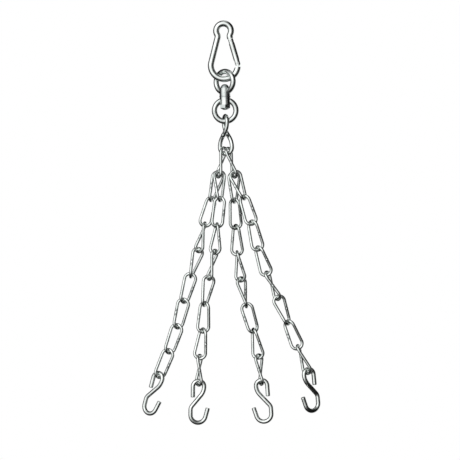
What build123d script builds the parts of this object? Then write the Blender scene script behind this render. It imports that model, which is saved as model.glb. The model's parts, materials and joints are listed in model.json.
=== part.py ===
"""Hanging chain set: snap hook, swivel, large twisted link, two coupling links, four legs with S-hooks.

Millimetres. Z is up, the set hangs below the origin, the four legs fan out in the XZ plane and
+Y points away from the front. The origin is the inside top of the snap hook, where it hangs.
"""
import math
import os

from build123d import *

os.makedirs("parts", exist_ok=True)

# ---------------------------------------------------------------- driving sizes
GAP = 0.35                # play left between pieces that only rest on each other

SNAP_WIRE = 4.0           # wire radius of the snap hook
SNAP_HEAD_R = 9.65        # centreline radius of its small head
SNAP_BOW_R = 17.4         # centreline radius of its wide bottom bow
SNAP_HEAD_Z = -5.65
SNAP_BOW_Z = -50.8
NECK_X = 7.4                              # the head narrows to this half width
NECK_Z = SNAP_HEAD_Z - math.sqrt(SNAP_HEAD_R ** 2 - NECK_X ** 2)
NECK_FILLET = 5.0
NECK_DROP = NECK_Z - SNAP_BOW_Z
# the straight sides spread by this angle to run tangent into the bottom bow
GATE_SLOPE = math.asin(SNAP_BOW_R / math.hypot(NECK_X, NECK_DROP)) - math.atan2(NECK_X, NECK_DROP)

# distances below the neck, along the gate
NOSE_END, TONGUE_END, GATE_TOP, LATCH_S, PIVOT_S = 4.0, 9.6, 4.6, 7.3, 37.4
GATE_R = 3.8
SPRING_TOP = 16.0

EYE_WIRE = 3.5            # both swivel eyes
EYE_UP_RX, EYE_UP_RZ = 15.8, 13.6        # the upper eye is slightly wider than tall
EYE_UP_PLAY = 2.4         # play of the upper eye over the bow of the snap hook
EYE_LOW_R = 14.0
EYE_TURN = -46.0          # the upper eye is turned about the vertical
PIN_R, PIN_BOSS_R = 2.5, 7.0
SEAT_UP_T, SEAT_LOW_T = 1.95, 2.8        # flat seats that fill the curve of the eyes under head and nut
PIN_HEAD_R = 5.4
NUT_R, NUT_T, NUT_CROWN = 7.4, 4.4, 2.4
BOSS_T = 1.4              # flat the forged eyes carry around the pin
WASHER_T = 1.0

BIG_WIRE, BIG_R, BIG_LEN = 2.75, 8.2, 49.5       # large twisted link: wire, bow, crown to crown
BIG_ROLL, BIG_TWIST = 104.0, -122.0
BIG_PULL = 16.0           # how far the strands keep straight before they cross at the waist

WIRE = 2.0                # radius of the chain wire
HALF = 19.4               # half the crown to crown length of a chain link
REACH = 8.0               # corner reach of a chain link before the bends are rounded
TWIST = 65.0              # turn of a chain link from its top bow to its bottom bow

HOOK_WIRE = 2.85
HOOK_GAP = 0.8
HOOK_TOP_R, HOOK_LOW_R = 7.35, 9.9
HOOK_END_Z = -14.0                       # cut end of the loop, from the middle of the loop
HOOK_SIDE_R = 18.0                       # the loop narrows like a drop, along this radius
HOOK_SLANT = 40.0                        # lean of the shank
HOOK_BEND_R = 8.0                        # where the shank turns down into the bowl
HOOK_BOWL = (-0.2, -37.0)
HOOK_FLARE, HOOK_TIP = 15.0, 12.0        # the bowl's open side leans out and runs on this far

# lean is measured from straight down, positive towards +X; roll turns a link about its own length
COUPLING_LEAN = (-13.0, 13.0)
COUPLING_ROLL = (54.0, 55.0)
COUPLING_OFF = (-2.45, 2.45)
COUPLING_RISE = (8.0, 7.4)
LEG_LEAN = (
    (-17.0, -16.5, -14.5, -17.5, -17.0, -15.0, -20.5, -23.5),
    (0.0, -7.5, -5.5, -13.5, -11.5, -4.5, -8.5, -3.0),
    (0.0, 2.0, 1.5, 6.5, 10.5, 15.5, 9.5, 4.5),
    (20.0, 16.5, 12.5, 18.0, 23.0, 21.0, 21.5, 20.0),
)
LEG_ROLL = (
    (9.0, -48.0, -104.0, -160.0, -192.0, -197.0, -202.0, -207.0),
    (11.0, -35.0, -85.0, -125.0, -172.0, -230.0, -245.0, -297.0),
    (8.0, -46.0, -68.0, -92.0, -147.0, -203.0, -259.0, -314.0),
    (9.0, -45.0, -52.0, -62.0, -118.0, -174.0, -230.0, -286.0),
)
LEG_TIP = (                                      # lean to the back, positive away from the front
    (7.0, 6.0, 2.0, 0.0, 0.0, 0.0, 0.0, 0.0),
    (-7.0, -6.0, -2.0, 0.0, 0.0, 0.0, 0.0, 0.0),
    (7.0, 6.0, 2.0, 0.0, 0.0, 0.0, 0.0, 0.0),
    (-7.0, -6.0, -2.0, 0.0, 0.0, 0.0, 0.0, 0.0),
)
LEG_DEPTH = (2.3, -2.45, 2.2, -2.4)
LEG_RISE = (6.6, 7.8, 6.1, 7.6)
HOOK_LEAN = (-16.5, -2.5, 3.5, 5.0)
HOOK_TURN = (-36.0, 10.0, 176.0, 211.0)          # legs 3 and 4 carry their hooks the other way round


def up_vector(lean, tip=0.0):
    a, t = math.radians(lean), math.radians(tip)
    return Vector(-math.sin(a) * math.cos(t), -math.sin(t), math.cos(a) * math.cos(t))


def hang_plane(top, length, lean, roll, tip=0.0):
    """Frame of a hanging piece: origin at its middle, Z along its length, X along its top bow."""
    up = up_vector(lean, tip)
    side = Vector(math.cos(math.radians(lean)), 0, math.sin(math.radians(lean)))
    b = math.radians(roll)
    bow = side * math.cos(b) + up.cross(side) * math.sin(b)
    return Plane(origin=top - up * (length / 2), x_dir=bow, z_dir=up)


def lower_end(plane, length):
    return plane.from_local_coords(Vector(0, 0, -length / 2))


def seat(up_above, up_below, distance):
    """Step from a bow to the crown of the piece that hangs over it."""
    return (up_above + up_below).normalized() * distance


# ---------------------------------------------------------------- where every piece hangs
snap_low = SNAP_BOW_Z - SNAP_BOW_R
eye_up_z = snap_low + SNAP_WIRE + EYE_WIRE + EYE_UP_PLAY - EYE_UP_RZ
eye_face = eye_up_z - EYE_UP_RZ - EYE_WIRE
eye_low_z = eye_face - BOSS_T - GAP - WASHER_T - EYE_WIRE - EYE_LOW_R
big_top = Vector(0, 0, eye_low_z - EYE_LOW_R + EYE_WIRE + BIG_WIRE + 0.9)
big_plane = hang_plane(big_top, BIG_LEN, 0.0, BIG_ROLL)
big_low = lower_end(big_plane, BIG_LEN)

bow_dir = math.radians(BIG_ROLL + BIG_TWIST)
coupling_planes = []
for n in range(2):
    along = Vector(math.cos(bow_dir), math.sin(bow_dir), 0) * COUPLING_OFF[n]
    top = big_low + along + Vector(0, 0, COUPLING_RISE[n])
    coupling_planes.append(hang_plane(top, 2 * HALF, COUPLING_LEAN[n], COUPLING_ROLL[n]))

leg_planes = []
hook_frames = []
for n in range(4):
    above = coupling_planes[n // 2]
    point = lower_end(above, 2 * HALF) + Vector(0, LEG_DEPTH[n], 0) + above.z_dir * LEG_RISE[n]
    row = []
    for k in range(8):
        lean, tip = LEG_LEAN[n][k], LEG_TIP[n][k]
        if k:
            point = lower_end(row[-1], 2 * HALF) + seat(row[-1].z_dir, up_vector(lean, tip), 2 * WIRE + GAP)
        row.append(hang_plane(point, 2 * HALF, lean, LEG_ROLL[n][k], tip))
    leg_planes.append(row)
    step = seat(row[-1].z_dir, up_vector(HOOK_LEAN[n]), 1.0)
    centre = lower_end(row[-1], 2 * HALF) + step * (WIRE + HOOK_WIRE + HOOK_GAP - HOOK_TOP_R)
    hook_frames.append(hang_plane(centre, 0.0, HOOK_LEAN[n], HOOK_TURN[n]))
# ---------------------------------------------------------------- end of the layout


def round_wire(start, direction, wire_radius, path):
    """Sweep a round wire along a path that starts at start."""
    with BuildPart() as body:
        with BuildSketch(Plane(origin=start, z_dir=direction)):
            Circle(wire_radius)
        sweep(path=path)
    return body.part


def both_strands(plane, half):
    """A closed link is one strand and the same strand turned half a turn about the link's length."""
    other = half.rotate(Axis(plane.origin, plane.z_dir), 180)
    return half + other


def chain_link(plane):
    """Twisted link of plain chain wire: two bows at TWIST degrees, joined by straight strands."""
    t = math.radians(TWIST)
    corners = [
        Vector(-REACH, 0, HALF),
        Vector(REACH, 0, HALF),
        Vector(REACH * math.cos(t), REACH * math.sin(t), -HALF),
        Vector(-REACH * math.cos(t), -REACH * math.sin(t), -HALF),
    ]

    def bend(before, corner, after):
        a, b = (before - corner).normalized(), (after - corner).normalized()
        half_angle = math.acos(a.dot(b)) / 2
        radius = REACH * math.tan(half_angle)
        middle = corner + (a + b).normalized() * (REACH / math.cos(half_angle) - radius)
        return [plane.from_local_coords(p) for p in (corner + a * REACH, middle, corner + b * REACH)]

    top, bottom = bend(*corners[:3]), bend(*corners[1:])
    with BuildLine() as strand:
        ThreePointArc(*top)
        Line(top[2], bottom[0])
        ThreePointArc(*bottom)
    return both_strands(plane, round_wire(top[0], plane.x_dir, WIRE, strand.wire()))


def big_link(plane):
    """Large twisted link: round bows and strands that wind around each other at the waist."""
    t, straight = math.radians(BIG_TWIST), BIG_LEN / 2 - BIG_R

    def at(radius, turn, z):
        return plane.from_local_coords(Vector(radius * math.cos(turn), radius * math.sin(turn), z))

    d = BIG_R * math.sin(math.radians(45))
    top = [at(0, 0, BIG_LEN / 2), at(d, 0, straight + d), at(BIG_R, 0, straight)]
    bottom = [at(BIG_R, t, -straight), at(d, t, -straight - d), at(0, 0, -BIG_LEN / 2)]
    with BuildLine() as strand:
        ThreePointArc(*top)
        Bezier(top[2], top[2] - plane.z_dir * BIG_PULL, bottom[0] + plane.z_dir * BIG_PULL, bottom[0])
        ThreePointArc(*bottom)
    return both_strands(plane, round_wire(top[0], plane.x_dir, BIG_WIRE, strand.wire()))


def s_hook(plane):
    """S-hook: a nearly closed drop-shaped loop, a slanting shank, an open bowl with a cut tip."""
    slant, flare = math.radians(HOOK_SLANT), math.radians(HOOK_FLARE)
    r, q = HOOK_TOP_R, HOOK_LOW_R
    side_x = r - HOOK_SIDE_R
    bend_x = HOOK_BOWL[0] - q + HOOK_BEND_R

    def at(x, z):
        return plane.from_local_coords(Vector(x, 0, z))

    def arc(cx, cz, radius, start, end):
        angles = (start, (start + end) / 2, end)
        return ThreePointArc(*[at(cx + radius * math.cos(a), cz + radius * math.sin(a)) for a in angles])

    # the straight shank leaves the side arc and meets the bend on its left, tangent to both
    leave = (side_x + HOOK_SIDE_R * math.cos(slant), -HOOK_SIDE_R * math.sin(slant))
    meet_x = bend_x - HOOK_BEND_R * math.cos(slant)
    bend_z = leave[1] - (leave[0] - meet_x) / math.tan(slant) - HOOK_BEND_R * math.sin(slant)
    with BuildLine() as wire:
        Line(at(-r, HOOK_END_Z), at(-r, 0))
        arc(0, 0, r, math.pi, 0)
        side = arc(side_x, 0, HOOK_SIDE_R, 0, -slant)
        bend = arc(bend_x, bend_z, HOOK_BEND_R, math.pi - slant, math.pi)
        Line(side @ 1, bend @ 0)
        bowl = arc(HOOK_BOWL[0], HOOK_BOWL[1], q, math.pi, 2 * math.pi - flare)
        Line(bend @ 1, bowl @ 0)
        tip_x = HOOK_BOWL[0] + q * math.cos(flare) + HOOK_TIP * math.sin(flare)
        tip_z = HOOK_BOWL[1] - q * math.sin(flare) + HOOK_TIP * math.cos(flare)
        Line(bowl @ 1, at(tip_x, tip_z))
    return round_wire(at(-r, HOOK_END_Z), plane.z_dir, HOOK_WIRE, wire.wire())


def save(solid, name):
    solid.label = name
    export_step(solid, f"parts/{name}.step")


# ---------------------------------------------------------------- snap hook body and gate
gate_dir = Vector(math.sin(GATE_SLOPE), 0, -math.cos(GATE_SLOPE))      # down along the gate
gate_out = Vector(math.cos(GATE_SLOPE), 0, math.sin(GATE_SLOPE))       # away from the opening
neck = Vector(NECK_X, 0, NECK_Z)


def on_gate(along, out=0.0, y=0.0):
    return neck + gate_dir * along + gate_out * out + Vector(0, y, 0)


def gate_box(along_from, along_to, out_from, out_to, y_from, y_to):
    """Box lying along the gate, for the slots, tongues and notches."""
    middle = on_gate((along_from + along_to) / 2, (out_from + out_to) / 2, (y_from + y_to) / 2)
    with BuildPart(Plane(origin=middle, x_dir=gate_out, z_dir=gate_dir)) as box:
        Box(out_to - out_from, y_to - y_from, along_to - along_from)
    return box.part


def cross_pin(along, radius, y_half):
    with BuildPart(Plane(origin=on_gate(along), x_dir=gate_dir, z_dir=(0, 1, 0))) as pin:
        Cylinder(radius, 2 * y_half)
    return pin.part


neck_angle = math.atan2(NECK_Z - SNAP_HEAD_Z, NECK_X)
bow_end = Vector(SNAP_BOW_R * math.cos(GATE_SLOPE), SNAP_BOW_Z + SNAP_BOW_R * math.sin(GATE_SLOPE))
nose_tip = on_gate(TONGUE_END)
with BuildLine(Plane.XZ) as snap_path:
    Line((nose_tip.X, nose_tip.Z), (NECK_X, NECK_Z))
    turn = 180 - 2 * math.degrees(neck_angle)
    CenterArc((0, SNAP_HEAD_Z), SNAP_HEAD_R, math.degrees(neck_angle), turn)
    Line((-NECK_X, NECK_Z), (-bow_end.X, bow_end.Y))
    sweep_angle = 180 + math.degrees(GATE_SLOPE) - 6
    CenterArc((0, SNAP_BOW_Z), SNAP_BOW_R, 180 - math.degrees(GATE_SLOPE), sweep_angle)
    fillet(snap_path.vertices().filter_by(lambda v: abs(abs(v.X) - NECK_X) < 0.05), NECK_FILLET)
body = round_wire(nose_tip, -gate_dir, SNAP_WIRE, snap_path.wire())

# hinge stub on the lower end, then both ends are thinned to tongues between the gate's cheeks
stub = gate_box(PIVOT_S - 1, PIVOT_S + 5.4, -3.5, 3.5, -1.5, 1.5)
with BuildPart(Plane(origin=on_gate(PIVOT_S), x_dir=gate_dir, z_dir=(0, 1, 0))) as knuckle:
    Cylinder(3.5, 3.0)
clear_low = gate_box(PIVOT_S - 6, PIVOT_S + 4.6, -6, 6, -6, 6)
body = (body - clear_low) + stub + knuckle.part
body = body - gate_box(NOSE_END, TONGUE_END + 2, -6, 6, 1.5, 6) - gate_box(NOSE_END, TONGUE_END + 2, -6, 6, -6, -1.5)
body = body - gate_box(NOSE_END, TONGUE_END + 2, 3.3, 6, -6, 6) - gate_box(NOSE_END, TONGUE_END + 2, -6, -3.3, -6, 6)
body = body - cross_pin(LATCH_S, 1.4, 3) - gate_box(LATCH_S - 1.4, LATCH_S + 1.4, -5, 0, -3, 3)
body = body - cross_pin(PIVOT_S, 1.85, 3)
save(body, "snap_body")

with BuildPart(Plane(origin=on_gate(GATE_TOP), x_dir=gate_out, z_dir=gate_dir)) as bar:
    Cylinder(GATE_R, PIVOT_S + GATE_R - GATE_TOP, align=(Align.CENTER, Align.CENTER, Align.MIN))
gate = bar.part - gate_box(GATE_TOP - 1, TONGUE_END + 0.9, -6, 6, -1.85, 1.85)
gate = gate - gate_box(PIVOT_S - 4.4, PIVOT_S + 6, -6, 6, -1.85, 1.85)
gate = gate - cross_pin(LATCH_S, 1.05, 6) - cross_pin(PIVOT_S, 1.55, 6)
# the cheeks end round, concentric with the pivot
corner = gate_box(PIVOT_S, PIVOT_S + 6, -6, 6, -6, 6)
with BuildPart(Plane(origin=on_gate(PIVOT_S), x_dir=gate_dir, z_dir=(0, 1, 0))) as round_end:
    Cylinder(GATE_R, 12)
gate = gate - (corner - round_end.part)
with BuildPart(Plane(origin=on_gate(SPRING_TOP), x_dir=gate_out, z_dir=gate_dir)) as bore:
    Cylinder(2.1, PIVOT_S - 4 - SPRING_TOP, align=(Align.CENTER, Align.CENTER, Align.MIN))
gate = gate - bore.part
save(gate, "snap_gate")

save(cross_pin(PIVOT_S, 1.5, 3.75), "gate_pivot_pin")
save(cross_pin(LATCH_S, 1.0, 3.5), "gate_latch_pin")

coil_plane = Plane(origin=on_gate(SPRING_TOP + 0.7), x_dir=gate_out, z_dir=gate_dir)
coil = Helix(2.1, PIVOT_S - 3.9 - 0.8 - SPRING_TOP, 1.55)
coil = coil_plane.location * coil
with BuildPart() as spring:
    with BuildSketch(Plane(origin=coil @ 0, z_dir=coil % 0)):
        Circle(0.4)
    sweep(path=coil, is_frenet=True)
save(spring.part, "gate_spring")

# ---------------------------------------------------------------- swivel
turn_dir = Vector(math.cos(math.radians(EYE_TURN)), math.sin(math.radians(EYE_TURN)), 0)
eye_up_plane = Plane(origin=(0, 0, eye_up_z), x_dir=turn_dir, z_dir=turn_dir.cross(Vector(0, 0, 1)))
with BuildSketch(eye_up_plane) as oval:
    Ellipse(EYE_UP_RX, EYE_UP_RZ)
oval_path = oval.sketch.face().outer_wire()
with BuildPart() as eye_up:
    with BuildSketch(Plane(origin=oval_path @ 0, z_dir=oval_path % 0)):
        Circle(EYE_WIRE)
    sweep(path=oval_path)
    with Locations((0, 0, (eye_face - BOSS_T + eye_face + 2 * EYE_WIRE + SEAT_UP_T) / 2)):
        Cylinder(PIN_BOSS_R, BOSS_T + 2 * EYE_WIRE + SEAT_UP_T)
        Cylinder(PIN_R + 0.08, 40, mode=Mode.SUBTRACT)
save(eye_up.part, "swivel_upper_eye")

washer_top = eye_face - BOSS_T - GAP / 2
with BuildPart() as washer:
    with Locations((0, 0, washer_top - WASHER_T / 2)):
        Cylinder(PIN_BOSS_R + 0.4, WASHER_T)
        Cylinder(PIN_R + 0.1, 40, mode=Mode.SUBTRACT)
save(washer.part, "swivel_washer")

low_top = eye_low_z + EYE_LOW_R + EYE_WIRE
low_seat = low_top - 2 * EYE_WIRE - SEAT_LOW_T
with BuildPart() as eye_low:
    with BuildSketch(Plane(origin=(EYE_LOW_R, 0, eye_low_z), z_dir=(0, 0, 1))):
        Circle(EYE_WIRE)
    with BuildLine(Plane.XZ):
        CenterArc((0, eye_low_z), EYE_LOW_R, 0, 360)
    sweep()
    with Locations((0, 0, (low_top + low_seat) / 2)):
        Cylinder(PIN_BOSS_R, low_top - low_seat)
        Cylinder(PIN_R + 0.03, 40, mode=Mode.SUBTRACT)
save(eye_low.part, "swivel_lower_eye")

# pin with a mushroom head inside the upper eye, held by a crowned hex nut inside the lower one
def dome(radius, base, height):
    """Arc of a round crown over (radius, base), with its middle on the axis."""
    rise = abs(height)
    ball = (radius ** 2 + rise ** 2) / (2 * rise)
    half = math.asin(radius / ball) / 2
    mid = ball * math.cos(half) - (ball - rise)
    return ThreePointArc((radius, base), (ball * math.sin(half), base + math.copysign(mid, height)),
                         (0, base + height))


up_seat = eye_face + 2 * EYE_WIRE + SEAT_UP_T + 0.15
nut_top = low_seat - 0.03
pin_end = nut_top - NUT_T + 1
with BuildPart() as pin:
    with BuildSketch(Plane.XZ):
        with BuildLine():
            Polyline((0, up_seat + 5.2), (0, pin_end), (PIN_R, pin_end), (PIN_R, up_seat),
                     (PIN_HEAD_R, up_seat), (PIN_HEAD_R, up_seat + 1.2))
            dome(PIN_HEAD_R, up_seat + 1.2, 4.0)
        make_face()
    revolve(axis=Axis.Z)
save(pin.part, "swivel_pin")

with BuildPart() as nut:
    with BuildSketch(Plane(origin=(0, 0, nut_top - NUT_T))):
        RegularPolygon(NUT_R, 6, rotation=30)
    extrude(amount=NUT_T)
    with BuildSketch(Plane.XZ) as crown:
        with BuildLine():
            Polyline((0, nut_top - NUT_T - NUT_CROWN), (0, nut_top - NUT_T + 0.4),
                     (NUT_R * 0.82, nut_top - NUT_T + 0.4), (NUT_R * 0.82, nut_top - NUT_T))
            dome(NUT_R * 0.82, nut_top - NUT_T, -NUT_CROWN)
        make_face()
    revolve(axis=Axis.Z)
    with Locations((0, 0, (nut_top + pin_end) / 2)):
        Cylinder(PIN_R + 0.03, nut_top - pin_end + 0.1, mode=Mode.SUBTRACT)
save(nut.part, "swivel_nut")

# ---------------------------------------------------------------- links and hooks
save(big_link(big_plane), "master_link")
for side, plane in zip(("left", "right"), coupling_planes):
    save(chain_link(plane), f"coupling_link_{side}")
for n in range(4):
    for k in range(8):
        save(chain_link(leg_planes[n][k]), f"leg_{n + 1}_link_{k + 1}")
    save(s_hook(hook_frames[n]), f"hook_{n + 1}")
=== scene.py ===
"""Hanging chain set in bright plated steel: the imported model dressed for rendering, in metres."""
import json
import math

import bmesh
import bpy
import numpy as np
from mathutils import Matrix, Vector


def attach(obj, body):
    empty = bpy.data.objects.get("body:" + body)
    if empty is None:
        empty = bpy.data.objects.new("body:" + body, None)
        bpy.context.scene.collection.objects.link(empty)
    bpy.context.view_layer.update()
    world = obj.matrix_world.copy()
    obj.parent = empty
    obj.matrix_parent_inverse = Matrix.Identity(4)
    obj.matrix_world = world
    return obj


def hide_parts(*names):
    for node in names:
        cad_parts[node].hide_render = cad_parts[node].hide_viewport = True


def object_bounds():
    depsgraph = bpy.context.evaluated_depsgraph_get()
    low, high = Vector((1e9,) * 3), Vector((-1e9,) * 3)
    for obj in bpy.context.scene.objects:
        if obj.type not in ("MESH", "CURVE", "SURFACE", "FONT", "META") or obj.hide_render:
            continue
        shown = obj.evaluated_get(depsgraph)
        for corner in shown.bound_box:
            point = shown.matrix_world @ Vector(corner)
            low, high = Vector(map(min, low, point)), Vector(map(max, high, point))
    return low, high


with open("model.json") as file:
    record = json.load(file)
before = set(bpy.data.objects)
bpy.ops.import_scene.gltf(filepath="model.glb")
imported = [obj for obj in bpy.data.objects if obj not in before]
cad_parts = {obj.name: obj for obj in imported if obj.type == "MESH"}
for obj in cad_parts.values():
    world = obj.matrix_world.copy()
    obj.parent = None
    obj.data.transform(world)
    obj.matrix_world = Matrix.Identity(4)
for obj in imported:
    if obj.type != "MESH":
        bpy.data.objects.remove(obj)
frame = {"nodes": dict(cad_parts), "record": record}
cad_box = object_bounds()
MM = 0.001
scene = bpy.context.scene
nodes = frame["nodes"]

# ---------------------------------------------------------------- camera
# The set is looked at square on, from the front and from far away, so the wires show no
# perspective. The camera leans a little, so the hanging line drifts to the right going down.
VIEW_HEIGHT = 598 * MM
VIEW_CENTRE = Vector((2.9, 0, -264.5)) * MM
VIEW_DISTANCE = 3.0
VIEW_ROLL = math.radians(1.2)

camera = bpy.data.objects.new("camera", bpy.data.cameras.new("camera"))
scene.collection.objects.link(camera)
camera.data.sensor_width = 36.0
camera.data.lens = 36.0 * VIEW_DISTANCE / VIEW_HEIGHT
right = Vector((math.cos(VIEW_ROLL), 0, -math.sin(VIEW_ROLL)))
up = Vector((math.sin(VIEW_ROLL), 0, math.cos(VIEW_ROLL)))
turn = Matrix((right, up, right.cross(up))).transposed()
eye_point = VIEW_CENTRE - Vector((0, VIEW_DISTANCE, 0))
camera.matrix_world = Matrix.Translation(eye_point) @ turn.to_4x4()
scene.camera = camera
scene.view_settings.view_transform = "Standard"


# ---------------------------------------------------------------- studio
# A white room seen by the camera, with a darker one for the plating to mirror, so that every
# round wire gets a bright middle and dark edges. Large soft boxes stand around the set.
class Value:
    """A shader socket that takes part in Python arithmetic; each operation adds a Math node."""

    def __init__(self, socket):
        self.socket = socket
        self.tree = socket.id_data

    def math(self, operation, *terms):
        node = self.tree.nodes.new("ShaderNodeMath")
        node.operation = operation
        for slot, term in zip(node.inputs, terms):
            plug(self.tree, slot, term)
        return Value(node.outputs[0])

    def __add__(self, other):
        return self.math("ADD", self, other)

    def __sub__(self, other):
        return self.math("SUBTRACT", self, other)

    def __mul__(self, other):
        return self.math("MULTIPLY", self, other)

    def __radd__(self, other):
        return self.math("ADD", other, self)

    def __rsub__(self, other):
        return self.math("SUBTRACT", other, self)

    def __rmul__(self, other):
        return self.math("MULTIPLY", other, self)


def plug(tree, slot, item):
    """Links a socket into slot, or sets slot to a number, colour or vector."""
    if isinstance(item, Value):
        tree.links.new(item.socket, slot)
    else:
        slot.default_value = item


class Shader:
    """The node tree of one material or world."""

    def __init__(self, owner):
        owner.use_nodes = True
        self.tree = owner.node_tree
        self.tree.nodes.clear()

    def node(self, kind, settings, inputs, output=0):
        """Adds a node: its settings, then the values or links of its sockets by name or number."""
        node = self.tree.nodes.new("ShaderNode" + kind)
        for name, setting in settings.items():
            if name == "stops":
                ramp = node.color_ramp.elements
                while len(ramp) < len(setting):
                    ramp.new(0.5)
                for stop, (place, shade) in zip(ramp, setting):
                    stop.position = place
                    stop.color = (shade, shade, shade, 1)
            else:
                setattr(node, name, setting)
        for slot, item in inputs.items():
            plug(self.tree, node.inputs[slot], item)
        return Value(node.outputs[output]) if node.outputs else None


ROOM_LOBE = (-0.50, -0.82, 0.28)                # where the brightest part of the room lies
ROOM_STOPS = ((0.0, 0.60), (0.06, 0.30), (0.13, 0.004),
              (0.64, 0.010), (0.80, 0.20), (0.92, 1.0))

world = bpy.data.worlds.new("studio")
scene.world = world
room = Shader(world)
sight = room.node("TexCoord", {}, {}, "Generated")
toward = room.node("VectorMath", {"operation": "DOT_PRODUCT"}, {0: sight, 1: ROOM_LOBE}, "Value")
glow = room.node("ValToRGB", {"stops": ROOM_STOPS}, {"Fac": toward * 0.5 + 0.5})
mirrored = room.node("Background", {}, {"Color": glow, "Strength": 1.25})
seen = room.node("Background", {}, {"Color": (1, 1, 1, 1), "Strength": 1.0})
by_eye = room.node("LightPath", {}, {}, "Is Camera Ray")
both = room.node("MixShader", {}, {0: by_eye, 1: mirrored, 2: seen})
room.node("OutputWorld", {}, {"Surface": both})


def soft_box(name, place, size, power):
    """A square soft light that faces the middle of the set."""
    lamp = bpy.data.lights.new(name, "AREA")
    lamp.shape = "RECTANGLE"
    lamp.size, lamp.size_y = size
    lamp.energy = power
    holder = bpy.data.objects.new(name, lamp)
    holder.location = place
    holder.rotation_euler = (VIEW_CENTRE - Vector(place)).to_track_quat("-Z", "Y").to_euler()
    scene.collection.objects.link(holder)
    return holder


soft_box("key", (-1.1, -1.9, 0.9), (0.7, 1.6), 3.0)
soft_box("fill", (1.5, -1.6, -0.1), (0.25, 1.8), 0.5)
soft_box("top", (0.2, 0.1, 1.6), (1.0, 1.0), 1.8)
soft_box("back", (0.3, 2.1, 0.4), (0.5, 1.4), 1.2)
soft_box("floor_light", (0.0, 0.0, 1.9), (2.4, 2.4), 50).visible_glossy = False

FLOOR_HALF = 1.6
FLOOR_DROP = 0.30
floor_z = cad_box[0][2] - FLOOR_DROP
floor_mesh = bmesh.new()
corners = [(-1, -1), (1, -1), (1, 1), (-1, 1)]
floor_mesh.faces.new([floor_mesh.verts.new((x * FLOOR_HALF, y * FLOOR_HALF, floor_z))
                      for x, y in corners])
floor = bpy.data.objects.new("floor", bpy.data.meshes.new("floor"))
floor_mesh.to_mesh(floor.data)
scene.collection.objects.link(floor)
paint = bpy.data.materials.new("pale_floor")
pale = Shader(paint)
speckle = pale.node("TexNoise", {}, {"Scale": 60.0})
matt = {"Base Color": (0.86, 0.86, 0.85, 1), "Roughness": speckle * 0.2 + 0.55}
surface = pale.node("BsdfPrincipled", {}, matt)
pale.node("OutputMaterial", {}, {"Surface": surface})
floor.data.materials.append(paint)
floor.visible_glossy = False


# ---------------------------------------------------------------- snap hook body and gate
# A bar of round steel bent cold into a pear, with a gate of turned bar riveted across its
# gap. Both are zinc plated and tumbled bright.
def plated(name, light, dark, shine, streaks=0.5, pits=0.35, weld=False):
    """Bright zinc plating: cloudy colour, drawing lines along the wire, small pits and scuffs."""
    material = bpy.data.materials.new(name)
    skin = Shader(material)
    place = skin.node("TexCoord", {}, {}, "Object")
    clouds = skin.node("TexNoise", {}, {"Vector": place, "Scale": 95.0, "Detail": 4.0, "Roughness": 0.6})
    spots = skin.node("TexNoise", {}, {"Vector": place, "Scale": 520.0, "Detail": 3.0, "Roughness": 0.65})
    fine = skin.node("TexNoise", {}, {"Vector": place, "Scale": 2600.0, "Detail": 2.0})
    pit = skin.node("MapRange", {}, {"Value": spots, 1: 0.60, 2: 0.74})
    cloud = skin.node("MapRange", {}, {"Value": clouds, 1: 0.36, 2: 0.66})
    along = skin.node("Attribute", {"attribute_name": "grain"}, {}, "Vector")
    drawn = skin.node("TexNoise", {}, {"Vector": along, "Scale": 2.3, "Detail": 5.0, "Roughness": 0.7})
    rub = skin.node("Attribute", {"attribute_name": "rub"}, {}, "Fac")
    burn = skin.node("Attribute", {"attribute_name": "burn"}, {}, "Fac")
    shade = cloud * (1 - rub * 0.6) * 0.55 + pit * 0.35
    tone = skin.node("Mix", {"data_type": "RGBA"}, {0: shade, 6: (*light, 1), 7: (*dark, 1)}, 2)
    rough = shine + cloud * 0.07 + pit * 0.16 + fine * 0.03 - rub * 0.04
    height = clouds * 0.5 + drawn * streaks - pit * pits + fine * 0.08
    if weld:
        scorched = (0.13, 0.15, 0.15, 1)
        tone = skin.node("Mix", {"data_type": "RGBA"}, {0: burn * 0.8, 6: tone, 7: scorched}, 2)
        rough = rough + burn * 0.22
        height = height + burn * spots * 1.4
    relief = skin.node("Bump", {}, {"Strength": 0.16, "Distance": 0.0002, "Height": height})
    metal = {"Base Color": tone, "Metallic": 1.0, "Roughness": rough, "Normal": relief}
    skin.node("OutputMaterial", {}, {"Surface": skin.node("BsdfPrincipled", {}, metal)})
    return material


def dress(node, material):
    """Gives a carried-over solid its finish."""
    nodes[node].data.materials.clear()
    nodes[node].data.materials.append(material)


hook_bar = plated("plated_bar", (0.86, 0.89, 0.87), (0.56, 0.61, 0.59), 0.08)
dress("snap_body", hook_bar)
gate_bar = plated("plated_gate", (0.83, 0.86, 0.84), (0.50, 0.55, 0.53), 0.11)
dress("snap_gate", gate_bar)
rivet = plated("rivet_steel", (0.70, 0.72, 0.71), (0.36, 0.38, 0.38), 0.26)
dress("gate_pivot_pin", rivet)
dress("gate_latch_pin", rivet)
spring_wire = plated("spring_wire", (0.42, 0.43, 0.44), (0.20, 0.21, 0.22), 0.30)
dress("gate_spring", spring_wire)


# ---------------------------------------------------------------- swivel
# Two drop-forged eyes on one pin. The pin has a mushroom head inside the upper eye and a
# crowned nut inside the lower one, and a washer runs between the eyes.
swivel_steel = plated("plated_forging", (0.80, 0.83, 0.81), (0.40, 0.45, 0.44), 0.14, pits=0.7)
for eye in ("swivel_upper_eye", "swivel_lower_eye"):
    dress(eye, swivel_steel)
fastener_steel = plated("plated_fastener", (0.66, 0.70, 0.69), (0.28, 0.33, 0.33), 0.24, pits=0.6)
for piece in ("swivel_pin", "swivel_nut", "swivel_washer"):
    dress(piece, fastener_steel)


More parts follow.
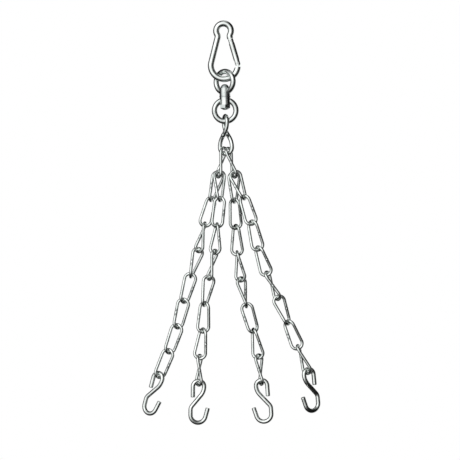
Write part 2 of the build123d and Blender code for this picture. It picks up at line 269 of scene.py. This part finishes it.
# ---------------------------------------------------------------- chain links
# Each link is a length of drawn wire bent round, butt welded in the middle of one strand and
# then twisted, so that the chain lies flat. The weld leaves a burnt, slightly swollen collar.
WIRE_R = 2.0 * MM
HALF = 19.4 * MM
REACH = 8.0 * MM
TWIST = math.radians(65)
AROUND = 24
STEP = 0.75 * MM


def spaced(points, closed):
    """The same line with its points a step apart."""
    line = np.vstack([points, points[:1]]) if closed else np.asarray(points)
    run = np.concatenate([[0], np.cumsum(np.linalg.norm(np.diff(line, axis=0), axis=1))])
    count = int(run[-1] / STEP)
    place = np.linspace(0, run[-1], count + 1)
    even = np.stack([np.interp(place, run, line[:, k]) for k in range(3)], axis=1)
    return (even[:-1], place[:-1]) if closed else (even, place)


def tube(line, along, radii, closed):
    """Vertices, quads and the grain direction of a wire swept along a line of even points."""
    count = len(line)
    if closed:
        ahead = np.roll(line, -1, axis=0) - np.roll(line, 1, axis=0)
    else:
        ahead = np.gradient(line, axis=0)
    ahead /= np.linalg.norm(ahead, axis=1)[:, None]
    side = np.cross(ahead[0], [0.3, 0.9, 0.1])
    side /= np.linalg.norm(side)
    verts, grain = [], []
    theta = np.linspace(0, 2 * math.pi, AROUND, endpoint=False)
    for k in range(count):
        side = side - ahead[k] * side.dot(ahead[k])
        side /= np.linalg.norm(side)
        other = np.cross(ahead[k], side)
        ring = np.outer(np.cos(theta), side) + np.outer(np.sin(theta), other)
        verts.append(line[k] + ring * np.asarray(radii[k]).reshape(-1, 1))
        grain.append(np.stack([np.full(AROUND, along[k] * 90), np.cos(theta), np.sin(theta)], axis=1))
    quads = []
    for k in range(count if closed else count - 1):
        a, b = k * AROUND, ((k + 1) % count) * AROUND
        shift = 0
        if closed and k == count - 1:
            gaps = [np.linalg.norm(verts[0][s] - verts[k][0]) for s in range(AROUND)]
            shift = int(np.argmin(gaps))
        for j in range(AROUND):
            n = (j + 1) % AROUND
            quads.append((a + j, a + n, b + (n + shift) % AROUND, b + (j + shift) % AROUND))
    return np.concatenate(verts), quads, np.concatenate(grain)


def moments(points, triangles):
    """Middle and principal axes of a surface."""
    a, b, c = (points[triangles[:, k]] for k in range(3))
    weight = np.linalg.norm(np.cross(b - a, c - a), axis=1)
    middle = (a + b + c) / 3
    centre = np.average(middle, axis=0, weights=weight)
    loose = middle - centre
    axes = np.linalg.eigh((loose * weight[:, None]).T @ loose)[1]
    axes[:, 0] = np.cross(axes[:, 1], axes[:, 2])
    return centre, axes


def surface_of(node):
    """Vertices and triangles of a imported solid."""
    mesh = nodes[node].data
    points = np.empty(len(mesh.vertices) * 3)
    mesh.vertices.foreach_get("co", points)
    mesh.calc_loop_triangles()
    triangles = np.empty(len(mesh.loop_triangles) * 3, dtype=int)
    mesh.loop_triangles.foreach_get("vertices", triangles)
    return points.reshape(-1, 3), triangles.reshape(-1, 3)


def laid_on(node, line, along, closed, radius):
    """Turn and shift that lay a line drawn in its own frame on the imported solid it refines."""
    verts, quads, _ = tube(line, along, np.full(len(line), radius), closed)
    own = moments(verts, np.array([q[:3] for q in quads] + [(q[0], q[2], q[3]) for q in quads]))
    solid = surface_of(node)
    packed = moments(*solid)
    best = None
    for signs in ((1, 1, 1), (1, -1, -1), (-1, 1, -1), (-1, -1, 1)):
        rotation = packed[1] @ np.diag(signs) @ own[1].T
        shift = packed[0] - rotation @ own[0]
        probe = verts[::AROUND * 3] @ rotation.T + shift
        apart = np.linalg.norm(probe[:, None] - solid[0][None, ::2], axis=2).min(axis=1).mean()
        if best is None or apart < best[0]:
            best = (apart, rotation, shift)
    return best[1], best[2]


def make_piece(name, verts, faces, layers, material, body, node):
    """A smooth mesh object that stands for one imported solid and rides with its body."""
    mesh = bpy.data.meshes.new(name)
    mesh.from_pydata([tuple(v) for v in verts], [], faces)
    for label, numbers in layers.items():
        kind = "FLOAT_VECTOR" if numbers.ndim == 2 else "FLOAT"
        layer = mesh.attributes.new(label, kind, "POINT")
        layer.data.foreach_set("vector" if numbers.ndim == 2 else "value", numbers.ravel())
    mesh.polygons.foreach_set("use_smooth", [len(f) == 4 for f in faces])
    mesh.materials.append(material)
    mesh.update()
    piece = bpy.data.objects.new(name, mesh)
    scene.collection.objects.link(piece)
    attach(piece, body)
    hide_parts(node)
    return piece


def rounded(corners, cut):
    """Closed line through corners whose every bend is an arc that starts cut before the corner."""
    out = []
    for k, corner in enumerate(corners):
        a = corners[k - 1] - corner
        b = corners[(k + 1) % len(corners)] - corner
        a, b = a / np.linalg.norm(a), b / np.linalg.norm(b)
        half = math.acos(a.dot(b)) / 2
        radius = cut * math.tan(half)
        bisector = (a + b) / np.linalg.norm(a + b)
        centre = corner + bisector * cut / math.cos(half)
        first, last = corner + a * cut - centre, corner + b * cut - centre
        sweep = math.pi - 2 * half
        for s in np.linspace(0, 1, 17):
            blend = first * math.sin((1 - s) * sweep) + last * math.sin(s * sweep)
            out.append(centre + blend / math.sin(sweep))
    return np.array(out)


def from_weld(points):
    """The closed line started again at the middle of its second strand, where the weld is."""
    half = len(points) // 2
    middle = (points[half - 1] + points[half]) / 2
    return np.vstack([middle, points[half:], points[:half]])


def collar(along, length, width, swell, rng):
    """Swelling of the wire at the butt weld, lumpy around and along, one row per ring."""
    near = np.minimum(along, length - along)
    theta = np.linspace(0, 2 * math.pi, AROUND, endpoint=False)
    lumps = 1 + 0.35 * np.sin(theta * 2 + rng.uniform(0, 6))
    lumps = lumps + 0.2 * np.sin(theta * 5 + rng.uniform(0, 6))
    bead = np.exp(-(near / (width * 0.45)) ** 2)
    pinch = np.exp(-((near - width * 1.1) / (width * 0.35)) ** 2)
    return swell * (np.outer(bead, lumps) - 0.35 * pinch[:, None]), near


link_steel = plated("plated_chain", (0.84, 0.87, 0.85), (0.46, 0.52, 0.50), 0.10, weld=True)
crown = [(-REACH, 0, HALF), (REACH, 0, HALF)]
foot = [(REACH * math.cos(TWIST), REACH * math.sin(TWIST), -HALF)]
foot.append((-foot[0][0], -foot[0][1], -HALF))
link_line, link_along = spaced(from_weld(rounded([np.array(p) for p in crown + foot], REACH)), True)
link_length = link_along[-1] + link_along[1]
link_nodes = [n for n in sorted(nodes) if "link" in n and n != "master_link"]


def make_link(node, line, along, length, radius, body, seed, material):
    """One welded link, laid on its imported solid."""
    rng = np.random.default_rng(seed)
    swell, near = collar(along, length, radius * 0.95, radius * 0.11, rng)
    waves = sum(np.sin(along * f + rng.uniform(0, 6)) for f in (180, 410, 900)) / 3
    radii = radius * (1 + 0.008 * waves[:, None]) + swell
    verts, quads, grain = tube(line, along, radii, True)
    tips = np.abs(line[:, 2]).max()
    rub = np.repeat(np.clip((np.abs(line[:, 2]) - tips * 0.86) / (tips * 0.10), 0, 1), AROUND)
    ring = np.exp(-((near - radius * 1.35) / (radius * 0.8)) ** 2)
    burn = np.repeat(ring * rng.uniform(0.55, 1.0), AROUND)
    rotation, shift = laid_on(node, line, along, True, radius)
    layers = {"grain": grain, "rub": rub, "burn": burn}
    placed = verts @ rotation.T + shift
    make_piece(node + "_wire", placed, quads, layers, material, body, node)


def body_of(node):
    """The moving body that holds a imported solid."""
    return next(body for body, held in frame["record"]["behaviour"]["bodies"].items() if node in held)


for number, node in enumerate(link_nodes):
    make_link(node, link_line, link_along, link_length, WIRE_R, body_of(node), number, link_steel)

# ---------------------------------------------------------------- large twisted link
# The same wire work in heavier stock: round bows, and strands pulled straight before they
# cross at the waist.
BIG_R = 2.75 * MM
BIG_BOW = 8.2 * MM
BIG_HALF = 24.75 * MM
BIG_TWIST = math.radians(-122)
BIG_PULL = 16.0 * MM


def big_strand():
    """Centreline from the upper crown, down one strand, to the lower crown."""
    straight = BIG_HALF - BIG_BOW
    low = np.array([math.cos(BIG_TWIST), math.sin(BIG_TWIST), 0])
    high = np.array([1.0, 0, 0])
    z = np.array([0, 0, 1.0])
    bow = np.linspace(0, math.pi / 2, 20)
    top = [high * BIG_BOW * math.sin(a) + z * (straight + BIG_BOW * math.cos(a)) for a in bow]
    pulls = (high * BIG_BOW + z * straight, high * BIG_BOW + z * (straight - BIG_PULL),
             low * BIG_BOW - z * (straight - BIG_PULL), low * BIG_BOW - z * straight)
    cross = [sum(math.comb(3, k) * (1 - s) ** (3 - k) * s ** k * pulls[k] for k in range(4))
             for s in np.linspace(0, 1, 40)[1:-1]]
    bottom = [low * BIG_BOW * math.sin(a) - z * (straight + BIG_BOW * math.cos(a)) for a in bow[::-1]]
    return np.array(top + cross + bottom)


strand = big_strand()
other_strand = strand[::-1] * np.array([-1, -1, 1])
whole = np.vstack([strand, other_strand[1:-1]])
quarter = len(strand) // 2
big_line, big_along = spaced(np.vstack([whole[quarter:], whole[:quarter]]), True)
big_steel = plated("plated_big_link", (0.82, 0.85, 0.83), (0.44, 0.50, 0.48), 0.11, weld=True)
big_length = big_along[-1] + big_along[1]
BIG_SEED = 77
make_link("master_link", big_line, big_along, big_length, BIG_R, "master_link", BIG_SEED,
          big_steel)

# ---------------------------------------------------------------- S-hooks
# Four lengths of thicker wire, cropped square and bent cold on a former: a nearly closed
# loop above that holds the chain, a slanting shank and an open bowl below.
HOOK_R = 2.85 * MM
LOOP_R, BOWL_R, BEND_R = 7.35 * MM, 9.9 * MM, 8.0 * MM
SIDE_R = 18.0 * MM
BOWL_AT = (-0.2 * MM, -37.0 * MM)
LOOP_END, TIP_LENGTH = -14.0 * MM, 12.0 * MM
SLANT, FLARE = math.radians(40), math.radians(15)
RUB_REACH = 7 * MM                              # how far from the top of the loop the chain scuffs
HOOK_SEED = 200
END_TAPER, END_LENGTH = 0.10, 0.7 * MM          # the cropped ends are drawn in a little


def arc(centre, radius, start, end):
    """Points of an arc in the plane of the hook."""
    return [(centre[0] + radius * math.cos(a), 0, centre[1] + radius * math.sin(a))
            for a in np.linspace(start, end, 40)]


side_x = LOOP_R - SIDE_R
leave = (side_x + SIDE_R * math.cos(SLANT), -SIDE_R * math.sin(SLANT))
bend_x = BOWL_AT[0] - BOWL_R + BEND_R
drop = (leave[0] - bend_x + BEND_R * math.cos(SLANT)) / math.tan(SLANT)
bend_z = leave[1] - drop - BEND_R * math.sin(SLANT)
hook_points = [(-LOOP_R, 0, LOOP_END)]
hook_points += arc((0, 0), LOOP_R, math.pi, 0)
hook_points += arc((side_x, 0), SIDE_R, 0, -SLANT)
hook_points += arc((bend_x, bend_z), BEND_R, math.pi - SLANT, math.pi)
hook_points += arc(BOWL_AT, BOWL_R, math.pi, 2 * math.pi - FLARE)
foot_x, foot_z = hook_points[-1][0], hook_points[-1][2]
hook_points.append((foot_x + TIP_LENGTH * math.sin(FLARE), 0, foot_z + TIP_LENGTH * math.cos(FLARE)))
hook_line, hook_along = spaced(np.array(hook_points), False)
hook_steel = plated("plated_hook", (0.85, 0.88, 0.86), (0.48, 0.53, 0.51), 0.10, streaks=0.7)

for number in range(4):
    node = f"hook_{number + 1}"
    rng = np.random.default_rng(HOOK_SEED + number)
    waves = sum(np.sin(hook_along * f + rng.uniform(0, 6)) for f in (120, 300, 700)) / 3
    radii = HOOK_R * (1 + 0.008 * waves)
    ends = np.minimum(hook_along, hook_along[-1] - hook_along)
    radii = radii * (1 - END_TAPER * np.clip(1 - ends / END_LENGTH, 0, 1) ** 2)
    verts, quads, grain = tube(hook_line, hook_along, radii, False)
    last = len(verts) - AROUND
    quads.append(tuple(range(AROUND))[::-1])
    quads.append(tuple(range(last, last + AROUND)))
    from_top = np.linalg.norm(hook_line - [0, 0, LOOP_R], axis=1)
    rub = np.repeat(np.clip(1 - from_top / RUB_REACH, 0, 1), AROUND)
    burn = np.zeros(len(verts))
    rotation, shift = laid_on(node, hook_line, hook_along, False, HOOK_R)
    layers = {"grain": grain, "rub": rub, "burn": burn}
    placed = verts @ rotation.T + shift
    make_piece(node + "_wire", placed, quads, layers, hook_steel, node, node)

# ---------------------------------------------------------------- update
bpy.context.view_layer.update()
